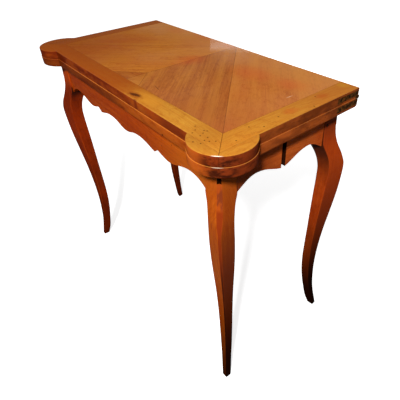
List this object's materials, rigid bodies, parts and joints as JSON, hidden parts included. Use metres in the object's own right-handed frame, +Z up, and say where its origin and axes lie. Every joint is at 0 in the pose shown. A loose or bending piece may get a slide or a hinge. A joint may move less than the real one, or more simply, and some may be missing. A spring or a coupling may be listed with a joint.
{
  "type": "folding games table",
  "caption": "Rectangular folding games table with round front corners, a fold-over top, a scrolled apron and cabriole legs; the rear half of the frame slides out.",
  "frame": {"origin": "on the floor, under the middle of the closed table's bounding box", "axes": "+X along the table to the right as seen from its front, +Y from the front to the rear (hinged) side, +Z up"},
  "size_m": [0.841, 0.4055, 0.74],
  "materials": {
    "field_veneer": "polished",
    "border_wood": "polished",
    "frame_wood": "polished",
    "core_wood": "planed",
    "runner_wood": "planed",
    "peg_wood": "polished",
    "baize": "napped",
    "hinge_metal": "tarnished",
    "screw_metal": "dull"
  },
  "bodies": {
    "front_frame": {"lower_core_board": "core_wood", "lower_baize": "baize", "lower_front_border": "border_wood", "lower_hinge_screws": "screw_metal", "right_lower_side_border": "border_wood", "left_lower_side_border": "border_wood", "right_lower_front_ear": "border_wood", "left_lower_front_ear": "border_wood", "right_lower_side_ear": "border_wood", "left_lower_side_ear": "border_wood", "right_lower_hinge_plate": "hinge_metal", "left_lower_hinge_plate": "hinge_metal", "right_hinge_pin": "hinge_metal", "left_hinge_pin": "hinge_metal", "front_apron": "frame_wood", "cross_bar": "runner_wood", "glue_blocks": "runner_wood", "leaf_screws": "screw_metal", "front_pegs": "peg_wood", "right_front_side_apron": "frame_wood", "left_front_side_apron": "frame_wood", "right_front_leg": "frame_wood", "left_front_leg": "frame_wood", "right_fixed_rail": "runner_wood", "left_fixed_rail": "runner_wood", "right_guide_key": "runner_wood", "left_guide_key": "runner_wood"},
    "rear_frame": {"rear_apron": "frame_wood", "tie_bar": "runner_wood", "rear_pegs": "peg_wood", "right_rear_side_apron": "frame_wood", "left_rear_side_apron": "frame_wood", "right_rear_leg": "frame_wood", "left_rear_leg": "frame_wood", "right_moving_runner": "runner_wood", "left_moving_runner": "runner_wood"},
    "upper_leaf": {"upper_core_board": "core_wood", "upper_baize": "baize", "upper_front_border": "border_wood", "upper_hinge_screws": "screw_metal", "right_upper_side_border": "border_wood", "left_upper_side_border": "border_wood", "right_upper_front_ear": "border_wood", "left_upper_front_ear": "border_wood", "right_upper_side_ear": "border_wood", "left_upper_side_ear": "border_wood", "right_upper_hinge_plate": "hinge_metal", "left_upper_hinge_plate": "hinge_metal", "front_left_veneer": "field_veneer", "front_right_veneer": "field_veneer", "rear_left_veneer": "field_veneer", "rear_right_veneer": "field_veneer", "left_patch_veneer": "field_veneer", "right_patch_veneer": "field_veneer"}
  },
  "joints": [
    {"name": "leaf_fold", "type": "hinge", "parent": "front_frame", "child": "upper_leaf", "pos_m": [0, 0.19775, 0.719], "axis": [-1, 0, 0], "range_deg": [0, 180]},
    {"name": "rear_frame_slide", "type": "slide", "parent": "front_frame", "child": "rear_frame", "axis": [0, 1, 0], "range_m": [-0.0105, 0.165]}
  ]
}
